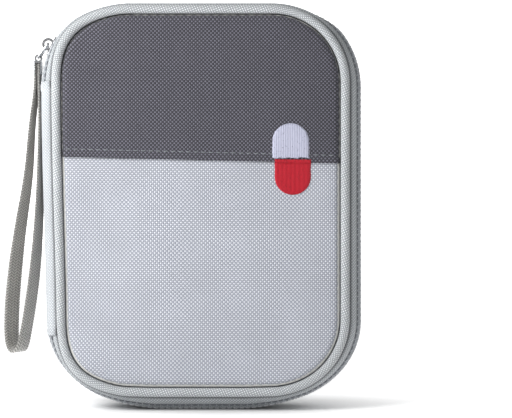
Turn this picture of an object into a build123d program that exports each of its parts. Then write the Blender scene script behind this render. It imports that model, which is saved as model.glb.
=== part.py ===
from build123d import *
import os
from math import cos, radians, sin

# Travel pill organizer: a soft, zip-around case that opens like a book, standing upright.
# Millimetres. +Z is up, the front faces -Y and +X is to the right. The origin is under the
# middle of the case, on the surface that it stands on; the zip runs in the plane Y = 0.

# Overall sizes
CASE_WIDTH = 125.0        # across the zip tapes, the widest line of the case
CASE_HEIGHT = 161.0
CASE_DEPTH = 36.0         # front piping to back piping
CORNER_RADIUS = 35.0      # of the outline at the zip tapes
FACE_INSET = 5.0          # how far the faces stand in from the zip tapes, all round

# Layers of a face, from the outside in
PIPING_DIAMETER = 4.0
CORD_DIAMETER = 2.4       # filler cord inside the piping
PIPING_PROUD = 1.4        # how far the piping stands out from the panel
PANEL_THICKNESS = 0.8
FOAM_THICKNESS = 2.0
LINING_THICKNESS = 0.5
OVERLAY_THICKNESS = 0.5
OVERLAY_EDGE_HEIGHT = 97.0
STITCHING_THICKNESS = 0.5

# Pill emblem, in raised thread
CAPSULE_WIDTH = 14.2
CAPSULE_HEIGHT = 28.0
CAPSULE_X = 35.6

# Side walls and zip
GUSSET_THICKNESS = 1.0
TAPE_WIDTH = 8.5
TAPE_THICKNESS = 0.6
TAPE_SLIT = 1.2           # between the two tapes' edges
COIL_WIDTH = 2.0
COIL_HEIGHT = 1.8
BINDING_WIDTH = 4.0
BINDING_THICKNESS = 1.2
SPINE_LINING_THICKNESS = 0.5

# Slider, pull link, clasp and wrist strap
SLIDER_ANGLE = 152.0      # round the top left corner, from +X
SLIDER_LENGTH = 8.4
SLIDER_WIDTH = 6.8
WING_THICKNESS = 1.2
POST_THICKNESS = 0.7
POST_LENGTH = 2.2
BRIDGE_WIDTH = 1.8
BRIDGE_HOLE_RADIUS = 1.5
BRIDGE_WALL = 1.0
LINK_WIRE = 1.0
LINK_LENGTH = 6.6
LINK_WIDTH = 4.2
LINK_LEAN = 36.2          # from straight down, away from the case, in degrees
CLASP_WIDTH = 9.0
CLASP_HEIGHT = 5.4
CLASP_WALL = 0.5
EYE_WALL = 0.7
EYE_WIDTH = 2.0
STRAP_WIDTH = 8.0
STRAP_THICKNESS = 1.0

# Pockets inside
MESH_WIDTH = 84.0
MESH_HEIGHT = 80.0
SLIP_WIDTH = 84.0
SLIP_HEIGHT = 56.0
POCKET_DEPTH = 6.0
POCKET_SHEET = 0.6
POCKET_FLOOR = 16.0       # height of the pockets' bottoms
HEM_HEIGHT = 8.0
HEM_THICKNESS = 1.8
LOOP_COUNT = 4
LOOP_WIDTH = 20.0
LOOP_DEPTH = 9.0
LOOP_HEIGHT = 22.0
LOOP_BOTTOM = 92.0
ELASTIC_THICKNESS = 1.0

# Clearances
HALVES_GAP = 0.3          # between pieces of the two halves where they meet
SEAM_GAP = 0.1            # between pieces that are sewn together
RUNNING_GAP = 0.3         # round what moves

# Derived places. A depth is measured from the zip plane outwards, an inset from the tapes inwards.
PIPING_RADIUS = PIPING_DIAMETER / 2
PIPING_DEPTH = CASE_DEPTH / 2 - PIPING_RADIUS
PIPING_INSET = FACE_INSET + PIPING_RADIUS
PANEL_INSET = FACE_INSET + PIPING_DIAMETER + SEAM_GAP
PANEL_DEPTH = CASE_DEPTH / 2 - PIPING_PROUD - PANEL_THICKNESS
FOAM_DEPTH = PANEL_DEPTH - FOAM_THICKNESS
LINING_DEPTH = FOAM_DEPTH - LINING_THICKNESS
TAPE_DEPTH = TAPE_SLIT / 2 + TAPE_WIDTH
GUSSET_TOP = PIPING_DEPTH - PIPING_RADIUS - SEAM_GAP
SPINE_BOTTOM = CORNER_RADIUS
SPINE_TOP = CASE_HEIGHT - CORNER_RADIUS
COIL_INSET = TAPE_THICKNESS + 0.05
WALL_X = -CASE_WIDTH / 2

os.makedirs("parts", exist_ok=True)


def save(piece, name):
    """Label a finished piece and write it."""
    piece.label = name
    export_step(piece, f"parts/{name}.step")


def save_pair(piece, name):
    """Both halves of the case have this piece, mirrored in the zip plane."""
    save(piece, "front_" + name)
    save(mirror(piece, about=Plane.XZ), "back_" + name)


def face_plane(depth):
    """A plane parallel to the faces, depth in front of the zip, centred on the outline."""
    return Plane(origin=(0, -depth, CASE_HEIGHT / 2), x_dir=(1, 0, 0), z_dir=(0, -1, 0))


def outline(inset, mode=Mode.ADD):
    """The case's rounded outline, drawn in by an inset."""
    width = CASE_WIDTH - 2 * inset
    height = CASE_HEIGHT - 2 * inset
    RectangleRounded(width, height, CORNER_RADIUS - inset, mode=mode)


def left_opening(bottom, top):
    """Cut the left stretch out of a ring, from bottom to top, for what closes it there."""
    width = CASE_WIDTH / 2
    with BuildSketch(face_plane(-1)) as window:
        with Locations((-CASE_WIDTH / 2 + width / 2 - 1, (bottom + top - CASE_HEIGHT) / 2)):
            Rectangle(width + 2, top - bottom)
    extrude(window.sketch, amount=CASE_DEPTH, mode=Mode.SUBTRACT)


# ---- Faces: the outer panel, the foam board behind it and the lining ----

with BuildPart() as panel:
    with BuildSketch(face_plane(PANEL_DEPTH)):
        outline(PANEL_INSET)
    extrude(amount=PANEL_THICKNESS)
save_pair(panel.part, "panel")

with BuildPart() as foam:
    with BuildSketch(face_plane(FOAM_DEPTH)):
        outline(PANEL_INSET)
    extrude(amount=FOAM_THICKNESS)
save_pair(foam.part, "foam_board")

with BuildPart() as lining:
    with BuildSketch(face_plane(LINING_DEPTH)):
        outline(PANEL_INSET)
    extrude(amount=LINING_THICKNESS)
save_pair(lining.part, "lining")

# ---- Upper overlay: the darker fabric over the top third of the front ----

OVERLAY_DEPTH = PANEL_DEPTH + PANEL_THICKNESS
with BuildPart() as overlay:
    with BuildSketch(face_plane(OVERLAY_DEPTH)):
        outline(PANEL_INSET)
        with Locations((0, (OVERLAY_EDGE_HEIGHT - CASE_HEIGHT) / 2)):
            Rectangle(CASE_WIDTH, OVERLAY_EDGE_HEIGHT, mode=Mode.SUBTRACT)
    extrude(amount=OVERLAY_THICKNESS)
save(overlay.part, "upper_overlay")

# ---- Pill emblem: two halves of raised stitching that meet at the overlay's edge ----

with BuildPart() as capsule_top:
    with BuildSketch(face_plane(OVERLAY_DEPTH + OVERLAY_THICKNESS)):
        with Locations((CAPSULE_X, OVERLAY_EDGE_HEIGHT - CASE_HEIGHT / 2)):
            SlotOverall(CAPSULE_HEIGHT, CAPSULE_WIDTH, rotation=90)
            with Locations((0, -CAPSULE_HEIGHT / 2)):
                Rectangle(CAPSULE_WIDTH * 2, CAPSULE_HEIGHT, mode=Mode.SUBTRACT)
    extrude(amount=STITCHING_THICKNESS)
save(capsule_top.part, "capsule_upper_half")

with BuildPart() as capsule_low:
    with BuildSketch(face_plane(OVERLAY_DEPTH)):
        with Locations((CAPSULE_X, OVERLAY_EDGE_HEIGHT - CASE_HEIGHT / 2)):
            SlotOverall(CAPSULE_HEIGHT, CAPSULE_WIDTH, rotation=90)
            with Locations((0, CAPSULE_HEIGHT / 2 - SEAM_GAP)):
                Rectangle(CAPSULE_WIDTH * 2, CAPSULE_HEIGHT, mode=Mode.SUBTRACT)
    extrude(amount=STITCHING_THICKNESS)
save(capsule_low.part, "capsule_lower_half")

# ---- Piping round each face: a fabric sleeve over a filler cord ----

piping_width = CASE_WIDTH - 2 * PIPING_INSET
piping_height = CASE_HEIGHT - 2 * PIPING_INSET
piping_corners = [
    (piping_width / 2, piping_height / 2),
    (piping_width / 2, -piping_height / 2),
    (-piping_width / 2, -piping_height / 2),
    (-piping_width / 2, piping_height / 2),
]
with BuildPart() as piping:
    with BuildLine(face_plane(PIPING_DEPTH)) as sleeve_path:
        FilletPolyline(*piping_corners, radius=CORNER_RADIUS - PIPING_INSET, close=True)
    with BuildSketch(sleeve_path.wire() ^ 0):
        Circle(PIPING_RADIUS)
        Circle(CORD_DIAMETER / 2, mode=Mode.SUBTRACT)
    sweep()
save_pair(piping.part, "piping")

with BuildPart() as filler:
    with BuildLine(face_plane(PIPING_DEPTH)) as filler_path:
        FilletPolyline(*piping_corners, radius=CORNER_RADIUS - PIPING_INSET, close=True)
    with BuildSketch(filler_path.wire() ^ 0):
        Circle(CORD_DIAMETER / 2)
    sweep()
save_pair(filler.part, "piping_cord")

# ---- Side walls: the sloping gusset, the zip tape and the coil, all round but for the spine ----

with BuildPart() as gusset:
    with BuildSketch(face_plane(TAPE_DEPTH)):
        outline(0)
    with BuildSketch(face_plane(GUSSET_TOP)):
        outline(FACE_INSET)
    loft(ruled=True)
    with BuildSketch(face_plane(TAPE_DEPTH)):
        outline(GUSSET_THICKNESS)
    with BuildSketch(face_plane(GUSSET_TOP)):
        outline(FACE_INSET + GUSSET_THICKNESS)
    loft(ruled=True, mode=Mode.SUBTRACT)
    left_opening(SPINE_BOTTOM - HALVES_GAP, SPINE_TOP + HALVES_GAP)
save_pair(gusset.part, "gusset")

with BuildPart() as tape:
    with BuildSketch(face_plane(TAPE_SLIT / 2)):
        outline(0)
        outline(TAPE_THICKNESS, mode=Mode.SUBTRACT)
    extrude(amount=TAPE_WIDTH)
    left_opening(SPINE_BOTTOM - HALVES_GAP, SPINE_TOP + HALVES_GAP)
save_pair(tape.part, "zip_tape")

# Where the slider sits: the corner's centre, and the way out and the way along the zip there
CORNER_X = WALL_X + CORNER_RADIUS
CORNER_Z = CASE_HEIGHT - CORNER_RADIUS
OUT = (cos(radians(SLIDER_ANGLE)), 0, sin(radians(SLIDER_ANGLE)))
ALONG = (sin(radians(SLIDER_ANGLE)), 0, -cos(radians(SLIDER_ANGLE)))
SLIDER_X = CORNER_X + CORNER_RADIUS * OUT[0]
SLIDER_Z = CORNER_Z + CORNER_RADIUS * OUT[2]
POST_X = -SLIDER_LENGTH / 2 + 0.9 + POST_LENGTH / 2
slider_side = Plane(origin=(SLIDER_X, 0, SLIDER_Z), x_dir=ALONG, z_dir=(0, -1, 0))

# The coils stop short of the slider's post, which stands between them
coil_end = POST_X + POST_LENGTH / 2 + RUNNING_GAP
with BuildPart() as coil:
    with BuildSketch(face_plane(HALVES_GAP / 2)):
        outline(COIL_INSET)
        outline(COIL_INSET + COIL_HEIGHT, mode=Mode.SUBTRACT)
    extrude(amount=COIL_WIDTH)
    left_opening(SPINE_BOTTOM - HALVES_GAP, SPINE_TOP + HALVES_GAP)
    with BuildSketch(slider_side):
        with Locations((coil_end - CORNER_RADIUS / 2, 0)):
            Rectangle(CORNER_RADIUS, CORNER_RADIUS)
    extrude(amount=2 * COIL_WIDTH, both=True, mode=Mode.SUBTRACT)
save_pair(coil.part, "zip_coil")

# ---- Seam binding: the tape that covers the inside seam round each face ----

binding_inset = FACE_INSET + GUSSET_THICKNESS + HALVES_GAP
binding_depth = LINING_DEPTH - SEAM_GAP - BINDING_THICKNESS
with BuildPart() as binding:
    with BuildSketch(face_plane(binding_depth)):
        outline(binding_inset)
        outline(binding_inset + BINDING_WIDTH, mode=Mode.SUBTRACT)
    extrude(amount=BINDING_THICKNESS)
save_pair(binding.part, "seam_binding")

# ---- Spine: one strip of fabric down the left side, from piping to piping, and its lining ----


def spine_profile(inset, thickness):
    """Section of the left side wall, an inset in from its outer face."""
    edge_y = GUSSET_TOP
    outer = [
        (WALL_X + FACE_INSET + inset, -edge_y),
        (WALL_X + inset, -TAPE_DEPTH),
        (WALL_X + inset, TAPE_DEPTH),
        (WALL_X + FACE_INSET + inset, edge_y),
    ]
    inner = [(x + thickness, y) for x, y in reversed(outer)]
    Polygon(*outer, *inner, align=None)


with BuildPart() as spine:
    with BuildSketch(Plane.XY.offset(SPINE_BOTTOM)):
        spine_profile(0, GUSSET_THICKNESS)
    extrude(amount=SPINE_TOP - SPINE_BOTTOM)
save(spine.part, "spine_panel")

with BuildPart() as spine_lining:
    with BuildSketch(Plane.XY.offset(SPINE_BOTTOM)):
        spine_profile(GUSSET_THICKNESS, SPINE_LINING_THICKNESS)
    extrude(amount=SPINE_TOP - SPINE_BOTTOM)
    with BuildSketch(Plane.XY.offset(SPINE_BOTTOM)):
        with Locations((0, -CASE_DEPTH / 2), (0, CASE_DEPTH / 2)):
            Rectangle(CASE_WIDTH + 2, CASE_DEPTH - 2 * (binding_depth - HALVES_GAP))
    extrude(amount=SPINE_TOP - SPINE_BOTTOM, mode=Mode.SUBTRACT)
save(spine_lining.part, "spine_lining")

# ---- Slider: two wings joined by a post, with flanges round the coils and a bridge on top ----

curve_drop = SLIDER_LENGTH**2 / (8 * CORNER_RADIUS)
wing_gap = COIL_INSET + COIL_HEIGHT + RUNNING_GAP + curve_drop
flange_gap = TAPE_THICKNESS + RUNNING_GAP + curve_drop
wing_top = RUNNING_GAP + WING_THICKNESS
channel_width = 2 * COIL_WIDTH + HALVES_GAP + 2 * RUNNING_GAP
bridge_centre = wing_top + BRIDGE_HOLE_RADIUS - 0.1


def slider_plane(height):
    """A plane along the zip tape at the slider, a height above the tape's outer face."""
    origin = (SLIDER_X + height * OUT[0], 0, SLIDER_Z + height * OUT[2])
    return Plane(origin=origin, x_dir=ALONG, z_dir=OUT)


def wing_sketch():
    """A wing's outline: broad at the end that parts the coils, narrower at the other."""
    Trapezoid(SLIDER_WIDTH, SLIDER_LENGTH, 86, rotation=-90)


with BuildPart() as slider:
    with BuildSketch(slider_plane(RUNNING_GAP)) as outer_wing:
        wing_sketch()
        fillet(outer_wing.vertices(), 1.2)
    extrude(amount=WING_THICKNESS)
    with BuildSketch(slider_plane(-wing_gap - WING_THICKNESS)) as inner_wing:
        wing_sketch()
        fillet(inner_wing.vertices(), 1.2)
    extrude(amount=WING_THICKNESS)
    with BuildSketch(slider_plane(-wing_gap)) as flanges:
        wing_sketch()
        fillet(flanges.vertices(), 1.2)
        Rectangle(SLIDER_LENGTH * 2, channel_width, mode=Mode.SUBTRACT)
    extrude(amount=wing_gap - flange_gap)
    with BuildSketch(slider_plane(-wing_gap)):
        with Locations((POST_X, 0)):
            SlotOverall(POST_LENGTH, POST_THICKNESS)
    extrude(amount=wing_gap + RUNNING_GAP)
    with BuildSketch(slider_side):
        with Locations((0, bridge_centre)):
            Circle(BRIDGE_HOLE_RADIUS + BRIDGE_WALL)
            Circle(BRIDGE_HOLE_RADIUS, mode=Mode.SUBTRACT)
        Rectangle(SLIDER_LENGTH, 2 * wing_top - 0.1, mode=Mode.SUBTRACT)
    extrude(amount=BRIDGE_WIDTH / 2, both=True)
save(slider.part, "slider_body")

# ---- Pull link: a closed wire ring that hangs in the bridge ----

BAR_X = SLIDER_X + bridge_centre * OUT[0]
BAR_Z = SLIDER_Z + bridge_centre * OUT[2]
HANG = (-sin(radians(LINK_LEAN)), 0, -cos(radians(LINK_LEAN)))
EYE_X = BAR_X + LINK_LENGTH * HANG[0]
EYE_Z = BAR_Z + LINK_LENGTH * HANG[2]
link_plane = Plane(origin=(BAR_X, 0, BAR_Z), x_dir=HANG, z_dir=(HANG[2], 0, -HANG[0]))
link_corners = [
    (LINK_LENGTH, LINK_WIDTH / 2),
    (LINK_LENGTH, -LINK_WIDTH / 2),
    (0, -LINK_WIDTH / 2),
    (0, LINK_WIDTH / 2),
]
with BuildPart() as link:
    with BuildLine(link_plane) as link_path:
        FilletPolyline(*link_corners, radius=LINK_WIRE * 0.9, close=True)
    with BuildSketch(link_path.wire() ^ 0):
        Circle(LINK_WIRE / 2)
    sweep()
save(link.part, "pull_link")

# ---- Strap clasp: a folded metal clamp with an eye, closed on the strap's two ends ----

eye_radius = LINK_WIRE / 2 + 0.4
eye_centre_z = EYE_Z - 0.3
clasp_slot = 2 * STRAP_THICKNESS + 3 * SEAM_GAP
clasp_thickness = clasp_slot + 2 * CLASP_WALL
CLASP_TOP = eye_centre_z - eye_radius - 0.4
CLASP_BOTTOM = CLASP_TOP - CLASP_HEIGHT
with BuildPart() as clasp:
    with BuildSketch(Plane.XY.offset(CLASP_BOTTOM)):
        with Locations((EYE_X, 0)):
            RectangleRounded(clasp_thickness, CLASP_WIDTH, 0.6)
    extrude(amount=CLASP_HEIGHT)
    with BuildSketch(Plane.XY.offset(CLASP_BOTTOM)):
        with Locations((EYE_X, 0)):
            Rectangle(clasp_slot, CLASP_WIDTH * 2)
    extrude(amount=CLASP_HEIGHT - 0.9, mode=Mode.SUBTRACT)
    with BuildSketch(Plane.XZ):
        with Locations((EYE_X, eye_centre_z)):
            Circle(eye_radius + EYE_WALL)
    extrude(amount=EYE_WIDTH / 2, both=True)
    with BuildSketch(Plane.XZ):
        with Locations((EYE_X, eye_centre_z)):
            Circle(eye_radius)
    extrude(amount=CLASP_WIDTH, both=True, mode=Mode.SUBTRACT)
save(clasp.part, "strap_clasp")

# ---- Wrist strap: flat webbing in one loop, both ends in the clasp, folded at the bottom ----

strap_top = CLASP_TOP - 0.9 - SEAM_GAP
strap_step = (STRAP_THICKNESS + SEAM_GAP) / 2
STRAP_ROUTE = [
    (EYE_X - strap_step, strap_top),
    (EYE_X - strap_step, 127.0),
    (-67.2, 112.0),
    (-68.7, 92.0),
    (-72.6, 68.0),
    (-75.1, 46.0),
    (-75.8, 34.5),
    (-75.8, 27.5),
    (-75.1, 23.4),
    (-73.3, 21.4),
    (-71.2, 23.2),
    (-69.9, 28.4),
    (-68.2, 38.0),
    (-65.7, 56.0),
    (-64.2, 80.0),
    (-63.7, 102.0),
    (-63.9, 117.0),
    (EYE_X + strap_step, 127.0),
    (EYE_X + strap_step, strap_top),
]


def run_length(start, end):
    """Distance between two points of the strap's route."""
    return (Vector(*end) - Vector(*start)).length


def turn(before, corner, after):
    """How far the route turns at a corner, in degrees."""
    return (Vector(*corner) - Vector(*before)).get_angle(Vector(*after) - Vector(*corner))


strap_radii = []
for before, corner, after in zip(STRAP_ROUTE, STRAP_ROUTE[1:], STRAP_ROUTE[2:]):
    shorter = min(run_length(before, corner), run_length(corner, after))
    half_turn = radians(turn(before, corner, after) / 2)
    strap_radii.append(0.45 * shorter * cos(half_turn) / sin(half_turn))
print("strap radii", [round(radius, 1) for radius in strap_radii])

start_way = Vector(*STRAP_ROUTE[1]) - Vector(*STRAP_ROUTE[0])
with BuildPart() as strap:
    with BuildLine(Plane.XZ) as strap_path:
        FilletPolyline(*STRAP_ROUTE, radius=strap_radii)
    strap_start = Plane(
        origin=(STRAP_ROUTE[0][0], 0, STRAP_ROUTE[0][1]),
        x_dir=(0, 1, 0),
        z_dir=(start_way.X, 0, start_way.Y),
    )
    with BuildSketch(strap_start):
        Rectangle(STRAP_WIDTH, STRAP_THICKNESS)
    sweep()
strap_length = strap_path.wire().length
print("strap length", round(strap_length, 1), "volume", round(strap.part.volume, 1))
print("section times length", round(strap_length * STRAP_WIDTH * STRAP_THICKNESS, 1))
save(strap.part, "wrist_strap")

# ---- Pockets: a sheet that stands off the lining, sewn down at its sides and bottom ----

POCKET_BACK = LINING_DEPTH - SEAM_GAP
POCKET_FRONT = POCKET_BACK - POCKET_DEPTH


def pocket(width, height):
    """A pocket on the front half's lining, open at its top."""
    with BuildPart() as made:
        with BuildSketch(Plane.XY.offset(POCKET_FLOOR)):
            with Locations((0, -(POCKET_BACK + POCKET_FRONT) / 2)):
                Rectangle(width, POCKET_DEPTH)
        extrude(amount=height)
        with BuildSketch(Plane.XY.offset(POCKET_FLOOR + POCKET_SHEET)):
            with Locations((0, -(POCKET_BACK + POCKET_FRONT) / 2 - POCKET_SHEET)):
                Rectangle(width - 2 * POCKET_SHEET, POCKET_DEPTH)
        extrude(amount=height, mode=Mode.SUBTRACT)
    return made.part


def pocket_hem(width, height):
    """The elastic folded over a pocket's top edge."""
    top = POCKET_FLOOR + height + POCKET_SHEET
    middle = -(POCKET_FRONT + POCKET_SHEET / 2)
    with BuildPart() as made:
        with BuildSketch(Plane.XY.offset(top - HEM_HEIGHT)):
            with Locations((0, middle)):
                Rectangle(width - 2 * POCKET_SHEET - 2 * SEAM_GAP, HEM_THICKNESS)
        extrude(amount=HEM_HEIGHT)
        with BuildSketch(Plane.XY.offset(top - HEM_HEIGHT)):
            with Locations((0, middle)):
                Rectangle(width, POCKET_SHEET + 0.04)
        extrude(amount=HEM_HEIGHT - POCKET_SHEET, mode=Mode.SUBTRACT)
    return made.part


save(pocket(MESH_WIDTH, MESH_HEIGHT), "mesh_pocket")
save(pocket_hem(MESH_WIDTH, MESH_HEIGHT), "mesh_pocket_hem")
save(mirror(pocket(SLIP_WIDTH, SLIP_HEIGHT), about=Plane.XZ), "slip_pocket")
save(mirror(pocket_hem(SLIP_WIDTH, SLIP_HEIGHT), about=Plane.XZ), "slip_pocket_hem")

# ---- Elastic loops: one band sewn to the back lining between loops that stand off it ----

loops_width = LOOP_COUNT * LOOP_WIDTH
loop_centres = [(n - (LOOP_COUNT - 1) / 2) * LOOP_WIDTH for n in range(LOOP_COUNT)]
with BuildPart() as loops:
    with BuildSketch(Plane.XY.offset(LOOP_BOTTOM)):
        with Locations(*[(x, POCKET_BACK) for x in loop_centres]):
            Ellipse(LOOP_WIDTH / 2, LOOP_DEPTH)
            inner_width = LOOP_WIDTH / 2 - ELASTIC_THICKNESS
            Ellipse(inner_width, LOOP_DEPTH - ELASTIC_THICKNESS, mode=Mode.SUBTRACT)
        with Locations((0, POCKET_BACK + LOOP_DEPTH / 2)):
            Rectangle(loops_width + 2, LOOP_DEPTH, mode=Mode.SUBTRACT)
        with Locations((0, POCKET_BACK - ELASTIC_THICKNESS / 2)):
            Rectangle(loops_width, ELASTIC_THICKNESS)
    extrude(amount=LOOP_HEIGHT)
save(loops.part, "elastic_loops")
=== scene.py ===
import random
from collections import namedtuple
from math import ceil, cos, hypot, pi, radians, sin, tau

import bmesh
import bpy
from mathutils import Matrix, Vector
from mathutils.bvhtree import BVHTree


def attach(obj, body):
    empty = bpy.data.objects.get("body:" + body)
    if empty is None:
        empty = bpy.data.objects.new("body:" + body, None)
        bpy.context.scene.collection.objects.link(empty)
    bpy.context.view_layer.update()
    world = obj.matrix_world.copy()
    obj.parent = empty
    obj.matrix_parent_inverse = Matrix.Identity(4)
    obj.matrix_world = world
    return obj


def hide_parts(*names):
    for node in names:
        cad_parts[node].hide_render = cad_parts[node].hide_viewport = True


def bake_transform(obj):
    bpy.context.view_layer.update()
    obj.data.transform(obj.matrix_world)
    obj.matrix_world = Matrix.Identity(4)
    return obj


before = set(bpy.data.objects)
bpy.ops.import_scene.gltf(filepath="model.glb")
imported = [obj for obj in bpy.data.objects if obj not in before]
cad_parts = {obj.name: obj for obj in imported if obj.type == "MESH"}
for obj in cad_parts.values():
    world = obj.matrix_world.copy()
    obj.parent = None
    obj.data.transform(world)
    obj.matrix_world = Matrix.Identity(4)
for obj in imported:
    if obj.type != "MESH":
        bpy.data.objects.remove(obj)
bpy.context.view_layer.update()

# ---- Camera ----
# It looks level at the front of the standing case from half its height, with the case left of
# the middle of its view.

camera = bpy.data.objects.new("camera", bpy.data.cameras.new("camera"))
bpy.context.collection.objects.link(camera)
bpy.context.scene.camera = camera
camera.location = (0, -0.568, 0.0783)
camera.rotation_euler = (radians(90), 0, 0)
camera.data.sensor_width = 36
camera.data.lens = 100.4
camera.data.shift_x = 0.1059
camera.data.clip_start = 0.01

# ---- Wrist strap ----
# One length of grey herringbone webbing, woven in narrow columns with scalloped edges. Both
# ends are clamped in the clasp, and the loop hangs beside the case, folded at its lowest point.

random.seed(7)

STRAP_WIDTH = 0.008
STRAP_THICKNESS = 0.001
STRAP_COLUMNS = 5
CHEVRON = 0.00115             # from one rib of the herringbone to the next
STRAP_STEP = 0.00019          # along the strap, between rows of its mesh
STRAP_CELLS = 24              # across each side of it
strap_route = [
    (-0.06541, 0.0, 0.1358),
    (-0.06541, 0.0, 0.1270),
    (-0.06760, 0.0004, 0.1120),
    (-0.06880, 0.0010, 0.0920),
    (-0.07290, 0.0018, 0.0680),
    (-0.07540, 0.0024, 0.0460),
    (-0.07600, 0.0026, 0.0345),
    (-0.07600, 0.0026, 0.0275),
    (-0.07530, 0.0022, 0.0234),
    (-0.07330, 0.0002, 0.0214),
    (-0.07110, -0.0018, 0.0232),
    (-0.06990, -0.0022, 0.0284),
    (-0.06820, -0.0022, 0.0380),
    (-0.06580, -0.0016, 0.0560),
    (-0.06430, -0.0008, 0.0800),
    (-0.06400, -0.0003, 0.1020),
    (-0.06400, 0.0, 0.1170),
    (-0.06431, 0.0, 0.1270),
    (-0.06431, 0.0, 0.1358),
]


def spline_points(name, route):
    """Points close together on the smooth line that follows a route."""
    curve = bpy.data.curves.new(name, "CURVE")
    curve.dimensions = "3D"
    spline = curve.splines.new("NURBS")
    spline.points.add(len(route) - 1)
    for point, place in zip(spline.points, route):
        point.co = (*place, 1)
    spline.order_u = 3
    spline.use_endpoint_u = True
    spline.resolution_u = 64
    line = bpy.data.objects.new(name, curve)
    points = [vertex.co.copy() for vertex in bpy.data.meshes.new_from_object(line).vertices]
    bpy.data.objects.remove(line)
    return points


def even(points, step):
    """The same line with its points a step apart."""
    evened = [points[0]]
    left = step
    for start, end in zip(points, points[1:]):
        run = (end - start).length
        while left <= run:
            evened.append(start.lerp(end, left / run))
            left += step
        left -= run
    return evened


def smooth(share):
    """0 below 0, 1 above 1 and an even rise between."""
    share = min(max(share, 0.0), 1.0)
    return share * share * (3 - 2 * share)


def linear(colour):
    """An sRGB hex colour as the linear RGBA that a shader takes."""
    channels = [int(colour[n:n + 2], 16) / 255 for n in (1, 3, 5)]
    return [c / 12.92 if c < 0.04045 else ((c + 0.055) / 1.055) ** 2.4 for c in channels] + [1]


def add(tree, kind, inputs, **settings):
    """Adds a node. Each input is a value, a node whose first output feeds it, or an output."""
    node = tree.nodes.new("ShaderNode" + kind)
    for name, value in settings.items():
        setattr(node, name, value)
    for socket, value in inputs.items():
        if isinstance(value, bpy.types.Node):
            value = value.outputs[0]
        if isinstance(value, bpy.types.NodeSocket):
            tree.links.new(value, node.inputs[socket])
        else:
            node.inputs[socket].default_value = value
    return node


def new_material(name, **constants):
    """A material's node tree and its shader, with what is the same all over set on the shader."""
    made = bpy.data.materials.new(name)
    made.use_nodes = True
    shader = made.node_tree.nodes["Principled BSDF"]
    for socket, value in constants.items():
        shader.inputs[socket.replace("_", " ")].default_value = value
    return made, made.node_tree, shader


def finish_with(tree, shader, colour, height, depth):
    """Feeds a shader its colour, and a bump as deep as the threads really are."""
    tree.links.new(colour.outputs[0], shader.inputs["Base Color"])
    bump = add(tree, "Bump", {"Height": height, "Distance": depth, "Strength": 1.0})
    tree.links.new(bump.outputs[0], shader.inputs["Normal"])


def blotches(tree, size, low, high):
    """Slow change in brightness over a piece, from low to high, as handled cloth has."""
    place = add(tree, "TexCoord", {}).outputs["Object"]
    noise = add(tree, "TexNoise", {"Vector": place, "Scale": 1 / size, "Detail": 3.0})
    return add(tree, "MapRange", {"Value": noise, "From Min": 0.3, "From Max": 0.7,
                                  "To Min": low, "To Max": high})


def put(name, mesh, finish=None, body=None):
    """Shows a mesh as a piece, of a material and on a body where they are given."""
    piece = bpy.data.objects.new(name, mesh)
    bpy.context.collection.objects.link(piece)
    if finish:
        mesh.materials.append(finish)
    if body:
        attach(piece, body)
    return piece


def skin(name, rows, weave, ring=False, tube=False, finish=None, body=None):
    """A mesh over rows of points. weave gives the place in the cloth of a row and a column,
    ring joins the last row to the first, and tube the last column to the first."""
    width = len(rows[0])
    points = [point for row in rows for point in row]
    faces, places = [], []
    for i in range(len(rows) - (0 if ring else 1)):
        for j in range(width - (0 if tube else 1)):
            corners = [(i, j), (i + 1, j), (i + 1, j + 1), (i, j + 1)]
            faces.append([a % len(rows) * width + b % width for a, b in corners])
            places.extend(weave(a, b) for a, b in corners)
    if tube and not ring:
        for end in (0, len(rows) - 1):
            faces.append([end * width + j for j in range(width)])
            places.extend(weave(end, j) for j in range(width))
    mesh = bpy.data.meshes.new(name)
    mesh.from_pydata(points, [], faces)
    layer = mesh.uv_layers.new(name="weave")
    for corner, place in zip(layer.data, places):
        corner.uv = place
    if tube:
        shape = bmesh.new()
        shape.from_mesh(mesh)
        bmesh.ops.recalc_face_normals(shape, faces=shape.faces)
        shape.to_mesh(mesh)
        shape.free()
    mesh.shade_smooth()
    return put(name, mesh, finish, body)


def strap_face(across, along):
    """How far the webbing's ribs stand out, at a share of its width and a distance along it."""
    column = across * STRAP_COLUMNS
    in_column = abs(column % 2 - 1)
    rib = cos(tau * (along / CHEVRON + in_column))
    groove = abs(sin(pi * column)) ** 0.4
    return 0.00006 * rib * groove + 0.00010 * (groove - 1)


# Polyester yarn, bulky and matt: painted shade darkens the grooves between columns and between ribs, and a
# painted highlight lightens the ribs' crests.
webbing, tree, shader = new_material("polyester_webbing", Roughness=0.85, Sheen_Weight=0.25)
uv = add(tree, "UVMap", {}, uv_map="weave")
across, along = add(tree, "SeparateXYZ", {"Vector": uv}).outputs[:2]
column = add(tree, "Math", {0: across, 1: STRAP_COLUMNS / STRAP_WIDTH}, operation="MULTIPLY")
zigzag = add(tree, "Math", {0: column, 1: 1.0}, operation="PINGPONG")
ribs = add(tree, "Math", {0: along, 1: 1 / CHEVRON, 2: zigzag}, operation="MULTIPLY_ADD")
turns = add(tree, "Math", {0: ribs, 1: tau}, operation="MULTIPLY")
rib = add(tree, "Math", {0: turns}, operation="COSINE")
half_turn = add(tree, "Math", {0: column, 1: pi}, operation="MULTIPLY")
wave = add(tree, "Math", {0: half_turn}, operation="SINE")
groove = add(tree, "Math", {0: wave}, operation="ABSOLUTE")
# Painted highlight and shade: lighter on each rib's crests, darker between ribs.
painted_rib_shading = add(tree, "MapRange", {"Value": rib, "From Min": -1.0, "From Max": 1.0})
yarn = add(tree, "MixRGB", {"Fac": painted_rib_shading, "Color1": linear("#807f7c"), "Color2": linear("#c6c4bf")})
# Painted shade in the grooves between columns.
edge = add(tree, "MapRange", {"Value": groove, "From Min": 0.0, "From Max": 0.5, "To Min": 0.62})
shaded = add(tree, "MixRGB", {"Fac": 1.0, "Color1": yarn, "Color2": edge}, blend_type="MULTIPLY")
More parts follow.
